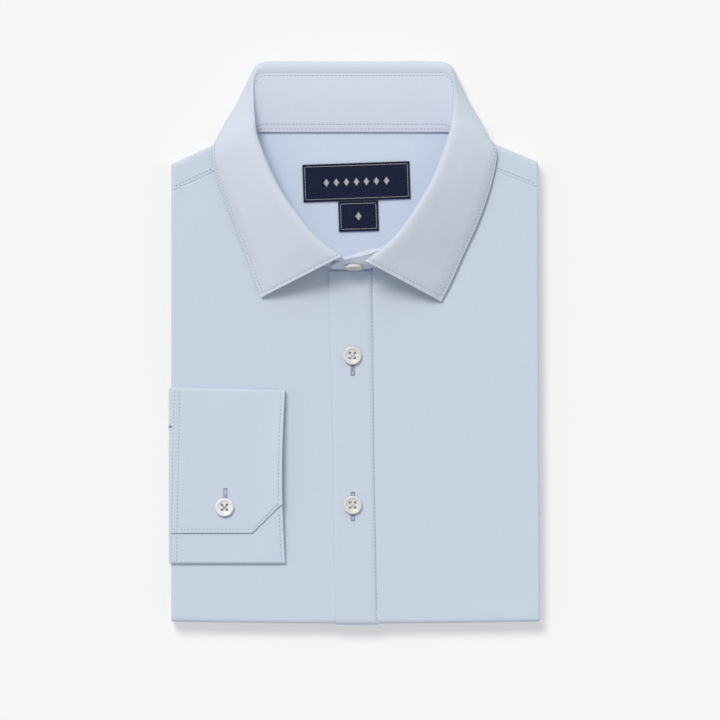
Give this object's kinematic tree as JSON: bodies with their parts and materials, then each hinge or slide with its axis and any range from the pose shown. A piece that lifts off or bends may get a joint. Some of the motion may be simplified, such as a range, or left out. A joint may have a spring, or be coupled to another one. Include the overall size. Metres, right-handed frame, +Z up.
{
  "type": "folded long sleeve dress shirt",
  "caption": "Dress shirt folded flat and buttoned, with a standing spread collar, open neck hollow, placket and one cuff turned to the front.",
  "frame": {"origin": "on the resting surface, below the middle of the folded shirt's box", "axes": "+Z up from the surface, +Y towards the collar, +X to the viewer's right"},
  "size_m": [0.2296, 0.3491, 0.0393],
  "materials": {
    "shirt_cloth": "smooth fine woven shirting, pale blue, almost matt",
    "collar_cloth": "the same pale blue shirting, fused firm and edge-stitched",
    "woven_label": "dark navy woven tape with a plain border",
    "button_resin": "ivory resin with a raised rim and four holes",
    "sewing_thread": "fine matt polyester thread"
  },
  "bodies": {
    "root": {"folded_layers": "shirt_cloth", "front_under_placket": "shirt_cloth", "front_with_placket": "shirt_cloth", "placket": "shirt_cloth", "yoke_left_shoulder": "shirt_cloth", "yoke_right_shoulder": "shirt_cloth", "yoke_inside": "shirt_cloth", "collar_stand": "collar_cloth", "collar_leaf": "collar_cloth", "neck_label": "woven_label", "size_label": "woven_label", "sleeve_end": "shirt_cloth", "cuff": "collar_cloth", "front_button_upper": "button_resin", "front_button_lower": "button_resin", "cuff_button": "button_resin", "neck_button": "button_resin"}
  },
  "joints": []
}
